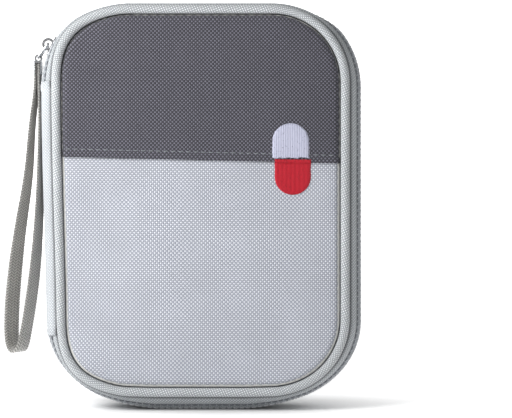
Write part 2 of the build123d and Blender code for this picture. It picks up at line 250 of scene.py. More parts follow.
worn = add(tree, "MixRGB", {"Fac": 1.0, "Color1": shaded, "Color2": blotches(tree, 0.012, 0.86, 1.08)},
           blend_type="MULTIPLY")
finish_with(tree, shader, worn, rib, 0.00012)

strap_line = even(spline_points("strap_line", strap_route), STRAP_STEP)
lowest = min(range(len(strap_line)), key=lambda n: strap_line[n].z)
strap_rows = []
for n, point in enumerate(strap_line):
    before = strap_line[max(n - 1, 0)]
    after = strap_line[min(n + 1, len(strap_line) - 1)]
    heading = (after - before).normalized()
    fall = smooth((0.130 - point.z) / 0.095)
    second_run = smooth(0.5 + (n - lowest) / 140)
    twist = radians(7 + 32 * fall - second_run * (4 + 8 * fall))
    sideways = Vector((sin(twist), cos(twist), 0))
    sideways = (sideways - heading * sideways.dot(heading)).normalized()
    up = heading.cross(sideways)
    along = n * STRAP_STEP
    scallop = 0.00016 * cos(tau * along / CHEVRON)
    row = []
    for side, shares in ((1, range(STRAP_CELLS + 1)), (-1, range(STRAP_CELLS, -1, -1))):
        for step in shares:
            share = step / STRAP_CELLS
            reach = (share - 0.5) * (STRAP_WIDTH + 2 * scallop * abs(2 * share - 1) ** 6)
            rounding = (1 - abs(2 * share - 1) ** 8) ** 0.5
            lift = STRAP_THICKNESS / 2 * (0.25 + 0.75 * rounding) + strap_face(share, along)
            row.append(point + sideways * reach + up * lift * side)
    strap_rows.append(row)
strap = skin("wrist_strap_webbing", strap_rows,
             lambda i, j: (min(j, 2 * STRAP_CELLS + 1 - j) / STRAP_CELLS * STRAP_WIDTH,
                           i * STRAP_STEP),
             tube=True, finish=webbing, body="strap")
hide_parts("wrist_strap")

# ---- Piping and its filler cord ----
# A bias strip of coarse grey oxford folded round a firm plastic cord and sewn into the seam
# round each face. It ruckles across its length where it is bent round the corners.

CASE_WIDTH = 0.125
CASE_HEIGHT = 0.161
CORNER_RADIUS = 0.035
SAG = 0.0022                  # how far the soft lower left side has sunk in
TOP_SINK = 0.0026             # how far the zip's line has sunk at the top
FACE_RISE = 0.0012            # how far the faces' tops stand up instead
FACE_SPREAD = 0.0004          # how far the faces bulge over the left and right walls
LEAN = 0.0005                 # how far the faces and the spine have leaned to the left
SQUARING = 0.0021             # how far the faces fill the left corners out
ROCKER = 0.0026               # how far the bottom's ends stand off the floor
PIPING_RADIUS = 0.00178
PIPING_WALL = 0.0006
FILLER_RADIUS = 0.0011
PIPING_DEPTH = 0.016          # of its middle, from the zip's plane
PIPING_INSET = 0.007          # of its middle, in from the zip tapes
RUCKLE = 0.00125              # from one ruckle to the next
SIDES = {"front": (-1, "front_cover"), "back": (1, "back_shell")}
Station = namedtuple("Station", "x z out_x out_z along bend")


def outline(step, spine=True):
    """Stations round the case at the zip tapes: from the spine's lower end, along the bottom,
    up the right side, back over the top, and down the spine if that is wanted."""
    far_x = CASE_WIDTH / 2 - CORNER_RADIUS
    low, high = CORNER_RADIUS, CASE_HEIGHT - CORNER_RADIUS
    centres = [(-far_x, low), (far_x, low), (far_x, high), (-far_x, high)]
    stations = []
    along = 0.0
    for corner, (x, z) in enumerate(centres):
        arc = CORNER_RADIUS * pi / 2
        count = round(arc / step)
        for n in range(count):
            angle = pi + (corner + n / count) * pi / 2
            bend = smooth(5 * min(n / count, 1 - n / count))
            out_x, out_z = cos(angle), sin(angle)
            place = (x + CORNER_RADIUS * out_x, z + CORNER_RADIUS * out_z)
            stations.append(Station(*place, out_x, out_z, along + arc * n / count, bend))
        along += arc
        angle = pi + (corner + 1) * pi / 2
        out_x, out_z = cos(angle), sin(angle)
        straight = 2 * far_x if corner % 2 == 0 else high - low
        start_x, start_z = x + CORNER_RADIUS * out_x, z + CORNER_RADIUS * out_z
        count = round(straight / step)
        if corner == 3 and not spine:
            stations.append(Station(start_x, start_z, out_x, out_z, along, 0.0))
            break
        for n in range(count):
            run = straight * n / count
            place = (start_x - out_z * run, start_z + out_x * run)
            stations.append(Station(*place, out_x, out_z, along + run, 0.0))
        along += straight
    return stations


def settle(x, y, z):
    """A point of the soft case, moved as the standing case has settled."""
    on_face = smooth((abs(y) - 0.0095) / 0.0042)
    low = smooth((0.125 - z) / 0.105)
    left = smooth((-0.026 - x) / 0.034)
    sunk = TOP_SINK * smooth((z - 0.146) / 0.015) * (1 - on_face)
    spread = 1 + FACE_SPREAD / (CASE_WIDTH / 2 - PIPING_INSET) * on_face
    rise = on_face * (0.0004 + FACE_RISE * z / CASE_HEIGHT)
    off_floor = smooth((abs(x) - 0.016) / 0.022) * smooth((0.036 - z) / 0.036)
    rise += ROCKER * off_floor * (1 - 0.8 * on_face)
    past_x = max(abs(x) - CASE_WIDTH / 2 + CORNER_RADIUS, 0)
    past_z = max(abs(z - CASE_HEIGHT / 2) - CASE_HEIGHT / 2 + CORNER_RADIUS, 0)
    out = hypot(past_x, past_z) + 1e-6
    fill = SQUARING * on_face * left * (2 * past_x * past_z / out ** 2) ** 2 * min(out / 0.025, 1)
    x = x * spread + SAG * low * left - LEAN * max(on_face, left) - fill * past_x / out
    z += rise - sunk + fill * past_z / out * (1 if z > CASE_HEIGHT / 2 else -1)
    return Vector((x, y, z))


def place(station, inset, depth, side):
    """A point an inset in from the outline and a depth out from the zip's plane."""
    x = station.x - inset * station.out_x
    z = station.z - inset * station.out_z
    return settle(x, side * depth, z)


def lengths(profile):
    """How far along a profile each of its points is."""
    total = [0.0]
    for (a, b), (c, d) in zip(profile, profile[1:]):
        total.append(total[-1] + hypot(c - a, d - b))
    return total


def sweep(name, stations, profile, side, spine=True, **rest):
    """Carries a closed profile of (inset, depth) points round the case. The profile may be a
    function of the station."""
    shape = profile if callable(profile) else lambda station: profile
    rows = [[place(s, inset, depth, side) for inset, depth in shape(s)] for s in stations]
    first = shape(stations[0])
    across = lengths(first + first[:1])
    step = stations[1].along
    alongs = [s.along for s in stations] + [stations[-1].along + step]
    return skin(name, rows, lambda i, j: (across[j], alongs[i]), ring=spine, tube=True, **rest)


def crossing_threads(tree, spacing, turn=0.0):
    """A plain weave: how high the threads stand, and which of the two lies on top."""
    uv = add(tree, "UVMap", {}, uv_map="weave")
    scale = pi / spacing
    turned = add(tree, "Mapping", {"Vector": uv, "Rotation": (0, 0, turn), "Scale": (scale,) * 3})
    across, along = add(tree, "SeparateXYZ", {"Vector": turned}).outputs[:2]
    one = add(tree, "Math", {0: across}, operation="SINE")
    other = add(tree, "Math", {0: along}, operation="SINE")
    over = add(tree, "Math", {0: one, 1: other}, operation="MULTIPLY")
    size = add(tree, "Math", {0: over}, operation="ABSOLUTE")
    height = add(tree, "Math", {0: size, 1: 0.5}, operation="POWER")
    on_top = add(tree, "MapRange", {"Value": over, "From Min": -0.2, "From Max": 0.2})
    return height, on_top


def woven(name, warp, weft, gap, spacing, turn=0.0, bump=0.00015, uneven=0.05, seam=None, **constants):
    """A plain-woven cloth's material: warp and weft colours, and painted shade in the gaps between threads.
    A strip can be darkened by painted shade where it goes down into its seams: seam gives how far they
    are from its middle, and how far from them the painted shade ends and full brightness starts."""
    made, tree, shader = new_material(name, **constants)
    height, on_top = crossing_threads(tree, spacing, turn)
    yarn = add(tree, "MixRGB", {"Fac": on_top, "Color1": linear(weft), "Color2": linear(warp)})
    # Painted shade: the gap colour shows where the threads dip.
    painted_gap_shade = add(tree, "MapRange", {"Value": height, "From Min": 0.15, "From Max": 0.7})
    cloth = add(tree, "MixRGB", {"Fac": painted_gap_shade, "Color1": linear(gap), "Color2": yarn})
    change = blotches(tree, 0.02, 1 - uneven, 1 + uneven)
    colour = add(tree, "MixRGB", {"Fac": 1.0, "Color1": cloth, "Color2": change},
                 blend_type="MULTIPLY")
    # Painted shade in the fold by the seams, darkest at them.
    if seam:
        across = add(tree, "SeparateXYZ", {"Vector": add(tree, "UVMap", {}, uv_map="weave")})
        from_seam = add(tree, "Math", {0: across, 1: seam[0]}, operation="PINGPONG")
        shade = add(tree, "MapRange", {"Value": from_seam, "From Min": seam[1], "From Max": seam[2],
                                       "To Min": 0.12})
        colour = add(tree, "MixRGB", {"Fac": 1.0, "Color1": colour, "Color2": shade},
                     blend_type="MULTIPLY")
    finish_with(tree, shader, colour, height, bump)
    return made


# Oxford on the bias: its threads cross the piping at a slant, drawn a little coarser than real.
# Painted shade darkens its inner edge, where it turns into the groove beside the face.
piping_cloth = woven("bias_cut_oxford", "#dfe2e4", "#a3a7ab", "#6c7176", 0.00066, turn=radians(24),
                     seam=(0.1, 0.0008, 0.0019), Roughness=0.8, Sheen_Weight=0.15)
# Extruded polyethylene, white and faintly marked by the cloth round it.
cord_plastic = woven("polyethylene_cord", "#efefec", "#e9e9e6", "#dededb", 0.0006, bump=0.00002,
                     Roughness=0.5)


def piping_profile(station):
    """The folded strip's section, open towards the seam, with its ruckles."""
    dip = 0.5 - 0.5 * cos(tau * station.along / RUCKLE)
    radius = PIPING_RADIUS - (0.00005 + 0.00009 * station.bend) * dip
    inner = PIPING_RADIUS - PIPING_WALL
    outside = [radians(-168 + 336 * n / 18) for n in range(19)]
    inside = [radians(160 - 320 * n / 8) for n in range(9)]
    ring = [(radius * cos(a), radius * sin(a)) for a in outside]
    ring += [(inner * cos(a), inner * sin(a)) for a in inside]
    # the opening faces in and down, to the seam between the panel and the gusset
    lean = radians(-45)
    return [(PIPING_INSET - a * cos(lean) + b * sin(lean),
             PIPING_DEPTH - a * sin(lean) - b * cos(lean)) for a, b in ring]


round_cord = [(PIPING_INSET + FILLER_RADIUS * cos(tau * n / 12),
               PIPING_DEPTH + FILLER_RADIUS * sin(tau * n / 12)) for n in range(12)]
for half, (side, body) in SIDES.items():
    piping = sweep(f"{half}_piping_sleeve", outline(0.0003), piping_profile, side,
                   finish=piping_cloth, body=body)
    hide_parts(f"{half}_piping")
    filler = sweep(f"{half}_filler_cord", outline(0.002), round_cord, side,
                   finish=cord_plastic, body=body)
    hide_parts(f"{half}_piping_cord")

# ---- Gussets and zip tapes ----
# Each half's side wall is a strip of oxford from the piping down to the zip tape, on three
# sides of the case. The tape's outer edge is turned over the strip and sewn down in two rows.

WALL_START = 0.0052           # where the spine ends, a little way round the lower corner
GUSSET_THICKNESS = 0.0009
TAPE_THICKNESS = 0.0006
gusset_outside = [
    (0.0064, 0.0137), (0.0056, 0.0130), (0.0048, 0.0127), (0.0039, 0.0127), (0.0030, 0.0122),
    (0.0023, 0.0114), (0.0020, 0.0106), (0.0021, 0.0099),
]
TAPE_STITCH = 0.0019, 0.0024, 0.00055      # length, pitch and thickness
tape_outside = [
    (0.0021, 0.01085), (0.0014, 0.01065), (0.0007, 0.0099), (0.0003, 0.0090), (0.0, 0.0078),
    (0.0, 0.0060), (0.0, 0.0040), (0.0, 0.0020), (0.0, 0.0006),
]


def thicken(profile, thickness):
    """A closed profile: the line, and the same line moved in by a thickness."""
    inner = []
    for n, (inset, depth) in enumerate(profile):
        before = profile[max(n - 1, 0)]
        after = profile[min(n + 1, len(profile) - 1)]
        run = hypot(after[0] - before[0], after[1] - before[1])
        inner.append((inset - (after[1] - before[1]) / run * thickness,
                      depth + (after[0] - before[0]) / run * thickness))
    return profile + inner[::-1]


def stitches(name, path, length, pitch, thickness, finish, body):
    """A row of sewn stitches along a path of (point, way out) pairs. Each stitch is a short
    length of thread that dips into the cloth at both ends."""
    points, faces, places = [], [], []
    travelled = 0.0
    next_start = 0.0
    marks = []
    for (point, out), (after, _) in zip(path, path[1:]):
        run = (after - point).length
        while next_start <= travelled + run and run > 0:
            spot = point.lerp(after, (next_start - travelled) / run)
            marks.append((spot, (after - point).normalized(), out))
            next_start += pitch
        travelled += run
    sides = 6
    for spot, heading, out in marks:
        cross = heading.cross(out).normalized()
        base = len(points)
        for share, size, lift in ((-0.5, 0.3, -0.9), (-0.34, 0.9, 0.1), (0, 1.0, 0.5),
                                  (0.34, 0.9, 0.1), (0.5, 0.3, -0.9)):
            middle = spot + heading * length * share + out * lift * thickness / 2
            for n in range(sides):
                spoke = cross * cos(tau * n / sides) + out * sin(tau * n / sides)
                points.append(middle + spoke * size * thickness / 2)
        for ring in range(4):
            for n in range(sides):
                m = (n + 1) % sides
                a, b = base + ring * sides, base + (ring + 1) * sides
                faces.append([a + n, b + n, b + m, a + m])
        faces.append([base + n for n in range(sides)])
        faces.append([base + 4 * sides + n for n in reversed(range(sides))])
    mesh = bpy.data.meshes.new(name)
    mesh.from_pydata(points, [], faces)
    layer = mesh.uv_layers.new(name="weave")
    for loop, corner in zip(mesh.loops, layer.data):
        co = mesh.vertices[loop.vertex_index].co
        corner.uv = (co.x + co.y, co.z)
    mesh.shade_smooth()
    return put(name, mesh, finish, body)


# Polyester oxford, 600 denier, a plain weave of thick yarns, drawn a little coarser than real.
light_oxford = woven("light_grey_oxford", "#d4d6dd", "#a1a5b0", "#777b86", 0.00078,
                     Roughness=0.75, Sheen_Weight=0.15)
# Painted shade darkens this strip in the crease beside the piping.
gusset_cloth = woven("light_grey_gusset_oxford", "#d3d6d9", "#a5aaae", "#7d8287", 0.0006,
                     seam=(0.1, 0.0018, 0.0029), Roughness=0.8, Sheen_Weight=0.15)
# The zip's tape, a fine flat twill, and spun white thread, with a grey copy of it whose grey is painted
# shade, and a dark thread whose darkness paints the shade of the groove it lies in.
tape_cloth = woven("polyester_zip_tape", "#c4c8cc", "#989da2", "#6b7076", 0.0005,
                   turn=radians(45), Roughness=0.8, Sheen_Weight=0.1)
sewing_thread = woven("polyester_sewing_thread", "#f2f3f5", "#d4d6da", "#a3a6ab", 0.0003,
                      turn=radians(30), bump=0.00004, Roughness=0.6, Sheen_Weight=0.2)
# A copy of the white thread, painted grey as shade.
shaded_thread = woven("white_sewing_thread_with_painted_shade", "#8b8f94", "#70747a", "#54585e", 0.0003,
                      turn=radians(30), bump=0.00004, Roughness=0.6, Sheen_Weight=0.2)
# Thread painted dark as the shade of the face seam's groove.
groove_shade_thread = woven("sewing_thread_with_painted_groove_shade", "#5f5e68", "#4a4952", "#2e2d35", 0.0003,
                    turn=radians(30), bump=0.00004, Roughness=0.6, Sheen_Weight=0.2)
for half, (side, body) in SIDES.items():
    three_sides = [s for s in outline(0.001, spine=False) if s.along > WALL_START]
    gusset = sweep(f"{half}_gusset_strip", three_sides, thicken(gusset_outside, GUSSET_THICKNESS),
                   side, spine=False, finish=gusset_cloth, body=body)
    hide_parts(f"{half}_gusset")
    tape = sweep(f"{half}_zip_tape_cloth", three_sides, thicken(tape_outside, TAPE_THICKNESS),
                 side, spine=False, finish=tape_cloth, body=body)
    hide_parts(f"{half}_zip_tape")
    # The inner row is drawn in the thread with painted shade, the outer in plain white thread.
    for row, (inset, depth, thread) in enumerate([(0.0017, 0.01080, shaded_thread),
                                                  (0.0006, 0.00985, sewing_thread)]):
        path = []
        for station in outline(0.0005, spine=False):
            if station.along < WALL_START:
                continue
            out = Vector((station.out_x, side * 0.8, station.out_z)).normalized()
            path.append((place(station, inset, depth, side), out))
        stitches(f"{half}_tape_stitch_row_{row + 1}", path, *TAPE_STITCH, thread, body)

# ---- Spine ----
# The left side has no zip: one strip of oxford runs from piping to piping, its two ends folded
# over the gussets' ends, and the case opens on it. A lining covers its inside.

SPINE_LOW = 0.0295            # it reaches a little way round the lower corner
SPINE_HIGH = CASE_HEIGHT - CORNER_RADIUS
spine_quarter = [
    (0.0064, 0.0137), (0.0056, 0.0130), (0.0048, 0.0128), (0.0034, 0.0128), (0.0019, 0.0121),
    (0.0008, 0.0107), (0.0002, 0.0088), (0.0, 0.0068), (0.0, 0.0046), (0.0, 0.0023),
]
spine_outside = spine_quarter + [(0.0, 0.0)] + [(i, -d) for i, d in reversed(spine_quarter)]


# The same oxford in a finer look, stretched smooth.
# Painted shade darkens both its edges in the creases beside the piping.
spine_cloth = woven("light_grey_spine_oxford", "#dcdfe3", "#b4b8bd", "#8c9196", 0.0006,
                    seam=(lengths(spine_outside)[-1] / 2, 0.0018, 0.0029), Roughness=0.8, Sheen_Weight=0.15)


def spine_strip(name, profile, low, high, finish, hem=0.0):
    """A strip up the left wall with the given section, its ends thickened by a hem."""
    rows = []
    count = ceil((high - low) / 0.001)
    for n in range(count + 1):
        z = low + (high - low) * n / count
        from_end = min(z - low, high - z)
        swell = hem * (1 - smooth((from_end - 0.0022) / 0.0006))
        round_corner = CORNER_RADIUS - (CORNER_RADIUS ** 2 - max(CORNER_RADIUS - z, 0) ** 2) ** 0.5
        wall = round_corner - CASE_WIDTH / 2 - swell
        rows.append([settle(wall + inset, -depth, z) for inset, depth in profile])
    across = lengths(profile + profile[:1])
    return skin(name, rows, lambda i, j: (across[j], i * 0.001), tube=True, finish=finish)


spine = spine_strip("spine_cloth", thicken(spine_outside, 0.001), SPINE_LOW - 0.001,
                    SPINE_HIGH + 0.001, spine_cloth, hem=0.0003)
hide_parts("spine_panel")
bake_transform(spine)

# ---- Face panels ----
# Each face is coarse light grey oxford stretched over a foam board, held in the piping's seam
# all round, where it rolls in to the stitches. The air and foam behind it crown it slightly.

PANEL_INSET = 0.0091
PANEL_DEPTH = 0.0166
PANEL_THICKNESS = 0.0008
PANEL_CELL = 0.003
CROWN = 0.0009                # the most that a face stands out
BLOWN_AFTER = 20              # frames of cloth simulation
FACE_STITCH = 0.0022, 0.0034, 0.0005       # length, pitch and thickness
RIM_ROLL = 0.0021


def face_grid(inset, cell):
    """Rows of (x, z, level) over a face out to an inset. Level is 1 on the rim, 0 in the middle."""
    half_width = CASE_WIDTH / 2 - inset
    half_height = CASE_HEIGHT / 2 - inset
    radius = CORNER_RADIUS - inset
    across = round(2 * half_width / cell)
    up = round(2 * half_height / cell)
    rows = []
    for i in range(up + 1):
        row = []
        for j in range(across + 1):
            x = half_width * (2 * j / across - 1)
            z = half_height * (2 * i / up - 1)
            level = max(abs(x) / half_width, abs(z) / half_height)
            turn = radius * level
            past_x = abs(x) - (half_width * level - turn)
            past_z = abs(z) - (half_height * level - turn)
            if past_x > 0 and past_z > 0:
                pull = turn / hypot(past_x, past_z) - 1
                x += past_x * pull * (1 if x > 0 else -1)
                z += past_z * pull * (1 if z > 0 else -1)
            row.append((x, z + CASE_HEIGHT / 2, level))
        rows.append(row)
    return rows


def face_sheet(name, inset, depth, side, cell, finish):
    """An open sheet over a face, facing out."""
    grid = face_grid(inset, cell)
    rows = [[settle(x, side * depth, z) for x, z, _ in row] for row in grid]
    if side < 0:
        rows = [row[::-1] for row in rows]
        grid = [row[::-1] for row in grid]
    return skin(name, rows, lambda i, j: grid[i][j][:2], finish=finish)


def inflate(piece, side):
    """Blows a pinned sheet out as the padding behind it does, by cloth simulation."""
    mesh = piece.data
    flat = [vertex.co.copy() for vertex in mesh.vertices]
    shape = bmesh.new()
    shape.from_mesh(mesh)
    rim = [vertex.index for vertex in shape.verts if vertex.is_boundary]
    shape.free()
    piece.vertex_groups.new(name="rim").add(rim, 1.0, "REPLACE")
    cloth = piece.modifiers.new("cloth", "CLOTH")
    cloth.settings.quality = 6
    cloth.settings.mass = 0.25
    cloth.settings.tension_stiffness = 18
    cloth.settings.compression_stiffness = 18
    cloth.settings.bending_stiffness = 0.4
    cloth.settings.shrink_min = -0.006
    cloth.settings.vertex_group_mass = "rim"
    cloth.settings.use_pressure = True
    cloth.settings.uniform_pressure_force = 4
    cloth.settings.effector_weights.gravity = 0
    cloth.point_cache.frame_end = BLOWN_AFTER
    for number in range(1, BLOWN_AFTER + 1):
        bpy.context.scene.frame_set(number)
    blown = bpy.data.meshes.new_from_object(piece.evaluated_get(bpy.context.evaluated_depsgraph_get()))
    moved = [vertex.co.copy() for vertex in blown.vertices]
    bpy.context.scene.frame_set(1)
    piece.modifiers.clear()
    bpy.data.meshes.remove(blown)
    most = max(abs(now.y - was.y) for now, was in zip(moved, flat)) or 1
    for vertex, now, was in zip(mesh.vertices, moved, flat):
        share = min(abs(now.y - was.y) / most, 1)
        vertex.co = (was.x, was.y + side * CROWN * share ** 0.6, was.z)


def refine(piece, levels):
    """Smooths a mesh with a subdivision surface, and keeps the result."""
    surface = piece.modifiers.new("surface", "SUBSURF")
    surface.subdivision_type = "CATMULL_CLARK"
    surface.levels = levels
    surface.boundary_smooth = "PRESERVE_CORNERS"
    shown = piece.evaluated_get(bpy.context.evaluated_depsgraph_get())
    finer = bpy.data.meshes.new_from_object(shown)
    piece.modifiers.clear()
    piece.data = finer


def rim_distance(x, z, inset):
    """How far inside the rim of a face a point is."""
    past_x = abs(x) - (CASE_WIDTH / 2 - CORNER_RADIUS)
    past_z = abs(z - CASE_HEIGHT / 2) - (CASE_HEIGHT / 2 - CORNER_RADIUS)
    if past_x > 0 and past_z > 0:
        return CORNER_RADIUS - inset - hypot(past_x, past_z)
    return min(CORNER_RADIUS - inset - max(past_x, past_z), CORNER_RADIUS)


def unsettle(point):
    """Where a point of a face was before the case settled, near enough."""
    shift = settle(point.x, point.y, point.z) - point
    return point.x - shift.x, point.z - shift.z


def roll_rim(piece, inset, side):
    """Rolls a face's rim in to its seam, and puckers it between the stitches."""
    for vertex in piece.data.vertices:
        x, z = unsettle(vertex.co)
        inside = max(rim_distance(x, z, inset), 0)
        drop = RIM_ROLL * (1 - smooth(inside / 0.0014))
        pucker = 0.00016 * sin(tau * (x + z) / 0.0034) * (1 - smooth(inside / 0.005))
        ripple = 0.00012 * sin(x / 0.009 + 1.3 * sin(z / 0.017)) * smooth(inside / 0.01)
        vertex.co.y -= side * (drop + pucker + ripple)


def give_thickness(piece, thickness, out=False):
    """Turns a sheet into a closed cloth, inwards unless it should stand out."""
    solid = piece.modifiers.new("thickness", "SOLIDIFY")
    solid.thickness = thickness
    solid.offset = 1 if out else -1


panels = {}
for half, (side, body) in SIDES.items():
    panel = face_sheet(f"{half}_face_cloth", PANEL_INSET, PANEL_DEPTH, side, PANEL_CELL, light_oxford)
    inflate(panel, side)
    refine(panel, 2)
    roll_rim(panel, PANEL_INSET, side)
    panels[half] = panel
    give_thickness(panel, PANEL_THICKNESS)
    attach(panel, body)
    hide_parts(f"{half}_panel")
    path = []
    for station in outline(0.0005):
        out = Vector((station.out_x * 0.3, side, station.out_z * 0.3)).normalized()
        path.append((place(station, PANEL_INSET, PANEL_DEPTH - 0.0022, side), out))
    path.append(path[0])
    # Their thread's darkness paints the shade of the groove they lie in.
    stitches(f"{half}_face_seam_stitches", path, *FACE_STITCH, groove_shade_thread, body)

# ---- Upper overlay ----
# Darker oxford laid over the top third of the front and sewn in with it round the rim. Its
# lower edge slants slightly, is folded under, and is held by one row of stitches.

OVERLAY_THICKNESS = 0.0005
OVERLAY_EDGE = 0.0972         # height of its lower edge in the middle
OVERLAY_SLANT = -0.024        # its edge falls towards the right
HEM_FOLD = 0.003
HEM_STITCH = 0.0022, 0.0029                # length and pitch
HEM_STITCH_STEPS = 209
# The same oxford dyed dark grey, drawn a little coarser than real.
dark_oxford = woven("dark_grey_oxford", "#6b6a76", "#302f38", "#131219", 0.00074,
                    Roughness=0.75, Sheen_Weight=0.2)
overlay_mesh = panels["front"].data.copy()
cut = bmesh.new()
cut.from_mesh(overlay_mesh)
bmesh.ops.bisect_plane(cut, geom=cut.verts[:] + cut.edges[:] + cut.faces[:],
                       plane_co=(0, 0, OVERLAY_EDGE), plane_no=(-OVERLAY_SLANT, 0, 1),
                       clear_inner=True)
for vertex in cut.verts:
    above = vertex.co.z - OVERLAY_EDGE - OVERLAY_SLANT * vertex.co.x
    fold = smooth(1 - abs(above - HEM_FOLD * 0.4) / (HEM_FOLD * 0.75))
    sewn = smooth(1 - abs(above - HEM_FOLD) / 0.0008)
    vertex.co.y -= 0.00004 + 0.0003 * fold - 0.0001 * sewn
cut.to_mesh(overlay_mesh)
cut.free()
overlay_mesh.materials.clear()
overlay = put("upper_overlay_cloth", overlay_mesh, dark_oxford)
give_thickness(overlay, OVERLAY_THICKNESS, out=True)
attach(overlay, "front_cover")
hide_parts("upper_overlay")


def surface_of(piece):
    """A piece's shown surface, to find where a point on it lies."""
    shown = piece.evaluated_get(bpy.context.evaluated_depsgraph_get())
    shape = bmesh.new()
    shape.from_mesh(bpy.data.meshes.new_from_object(shown))
    tree = BVHTree.FromBMesh(shape)
    shape.free()
    return tree


def front_at(surfaces, x, z):
    """The front of the outermost of some surfaces at a place."""
    hits = [surface.ray_cast(Vector((x, -0.1, z)), Vector((0, 1, 0)))[0] for surface in surfaces]
    return min(hit.y for hit in hits if hit)


overlay_front = surface_of(overlay)
panel_front = surface_of(panels["front"])
hem_path = []
for n in range(HEM_STITCH_STEPS + 1):
    x = -0.0515 + 0.103 * n / HEM_STITCH_STEPS
    z = OVERLAY_EDGE + OVERLAY_SLANT * x + HEM_FOLD
    hem_path.append((Vector((x, front_at([overlay_front], x, z), z)), Vector((0, -1, 0))))
# Drawn in the white thread's grey copy, whose grey is painted shade.
stitches("overlay_hem_stitches", hem_path, *HEM_STITCH, 0.0004, shaded_thread, "front_cover")

# ---- Pill emblem ----
# A generic pill, embroidered: white satin stitch in upright columns above, red fill stitch
# below. Both stand up from the cloth in a low crown, and the thread's ends make ragged edges.

PILL_X = 0.0343
PILL_HALF = 0.0071
PILL_HEIGHT = 0.0137
THREAD_LIFT = 0.00055
THREAD_ROWS = 44              # of its mesh, up each half
SATIN_COLUMN = 0.00068        # from one strand to the next, coarser than real thread
FILL_COLUMN = 0.0005


def embroidery(name, surfaces, centre_x, half_width, split, grow, column, finish, ragged):
    """Half a pill's stitching, from its straight edge at split, growing up or down."""
    straight = PILL_HEIGHT - half_width
    across = ceil(2 * half_width / (column / 4))
    rows = []
    bottoms = [random.uniform(0, ragged) for _ in range(across + 1)]
    frays = [random.uniform(-0.00012, 0.00012) for _ in range(THREAD_ROWS)]
    for i in range(THREAD_ROWS):
        t = i / (THREAD_ROWS - 1)
        outer, inner = [], []
        for j in range(across + 1):
            f = 2 * j / across - 1
            rise = bottoms[j // 4 * 4] + (PILL_HEIGHT - bottoms[j // 4 * 4]) * t
            past = max(rise - straight, 0)
            width = max(half_width ** 2 - past ** 2, (0.0006) ** 2) ** 0.5 + frays[i]
            x = centre_x + f * width
            z = split + grow * rise
            edge = min((1 - abs(f)) * width, PILL_HEIGHT - rise, rise + 0.0004)
            crown = THREAD_LIFT * smooth(edge / 0.0007) * (0.85 + 0.15 * smooth(edge / 0.003))
            ridge = 0.00005 * cos(tau * (x - centre_x) / column)
            y = front_at(surfaces, x, z)
            outer.append(Vector((x, y - 0.00003 - crown - ridge * smooth(edge / 0.0004), z)))
            inner.append(Vector((x, y + 0.00002, z)))
        rows.append(outer + inner[::-1])
    width = len(rows[0])
    return skin(name, rows, lambda i, j: (rows[i][j % width].x, rows[i][j % width].z), tube=True,
                finish=finish, body="front_cover")


def embroidered(name, light, mid, dark, column, stitch):
    """Rayon embroidery thread: glossy strands side by side, each with a painted highlight along its middle
    and painted shade at its sides, and painted shade in a hole at each stitch's end.
    """
    made, tree, shader = new_material(name, Roughness=0.6, Sheen_Weight=0.06,
                                      Specular_IOR_Level=0.3)
    uv = add(tree, "UVMap", {}, uv_map="weave")
    across, along = add(tree, "SeparateXYZ", {"Vector": uv}).outputs[:2]
    turns = add(tree, "Math", {0: across, 1: tau / column}, operation="MULTIPLY")
    strand = add(tree, "Math", {0: turns}, operation="COSINE")
    cells = add(tree, "TexVoronoi", {"Vector": add(tree, "Mapping", {
        "Vector": uv, "Scale": (1 / column, 1 / stitch, 1)}), "Scale": 1.0, "Randomness": 0.7})
    # Painted shade in the hole at each stitch's end.
    hole = add(tree, "MapRange", {"Value": cells.outputs["Distance"], "From Min": 0.10,
                                  "From Max": 0.26})
    noise = add(tree, "TexNoise", {"Vector": add(tree, "Mapping", {
        "Vector": uv, "Scale": (2500, 500, 1)}), "Scale": 1.0, "Detail": 2.0})
    # Painted highlight along each strand's middle, painted shade at its sides.
    painted_strand_highlight = add(tree, "MapRange", {"Value": strand, "From Min": -1.0, "From Max": 0.4})
    thread = add(tree, "MixRGB", {"Fac": painted_strand_highlight, "Color1": linear(mid), "Color2": linear(light)})
    flecked = add(tree, "MixRGB", {"Fac": noise, "Color1": thread, "Color2": linear(mid)})
    colour = add(tree, "MixRGB", {"Fac": hole, "Color1": linear(dark), "Color2": flecked})
    finish_with(tree, shader, colour, strand, 0.00008)
    return made


satin = embroidered("white_rayon_satin_stitch", "#d3d4e2", "#a6a8bf", "#7d7f94", SATIN_COLUMN,
                    0.0011)
fill = embroidered("red_rayon_fill_stitch", "#d0182c", "#a50f24", "#850b1c", FILL_COLUMN, 0.0016)
split = OVERLAY_EDGE + OVERLAY_SLANT * PILL_X + 0.0013
upper_pill = embroidery("pill_upper_stitching", [overlay_front], PILL_X, PILL_HALF, split, 1,
                        SATIN_COLUMN, satin, ragged=0.0010)
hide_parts("capsule_upper_half")
lower_pill = embroidery("pill_lower_stitching", [overlay_front, panel_front], PILL_X + 0.0008,
                        PILL_HALF - 0.0001, split - 0.0002, -1, FILL_COLUMN, fill, ragged=0.0003)
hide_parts("capsule_lower_half")

# ---- Foam boards and linings ----
# Behind each panel lies a board of closed-cell foam, and over it a smooth lining, both cut to
# the face and caught in the same seam.

FOAM_DEPTH = 0.0158
FOAM_THICKNESS = 0.0020
LINING_DEPTH = 0.0138
LINING_THICKNESS = 0.0005
# Closed-cell polyethylene foam: fine cells, each a little lighter or darker.
foam_board, tree, shader = new_material("closed_cell_foam", Roughness=0.9)
place_in_foam = add(tree, "TexCoord", {}).outputs["Object"]
cells = add(tree, "TexVoronoi", {"Vector": place_in_foam, "Scale": 1 / 0.0006})
tint = add(tree, "MixRGB", {"Fac": cells, "Color1": linear("#efefec"), "Color2": linear("#dcdcd8")})
finish_with(tree, shader, tint, cells, 0.0001)
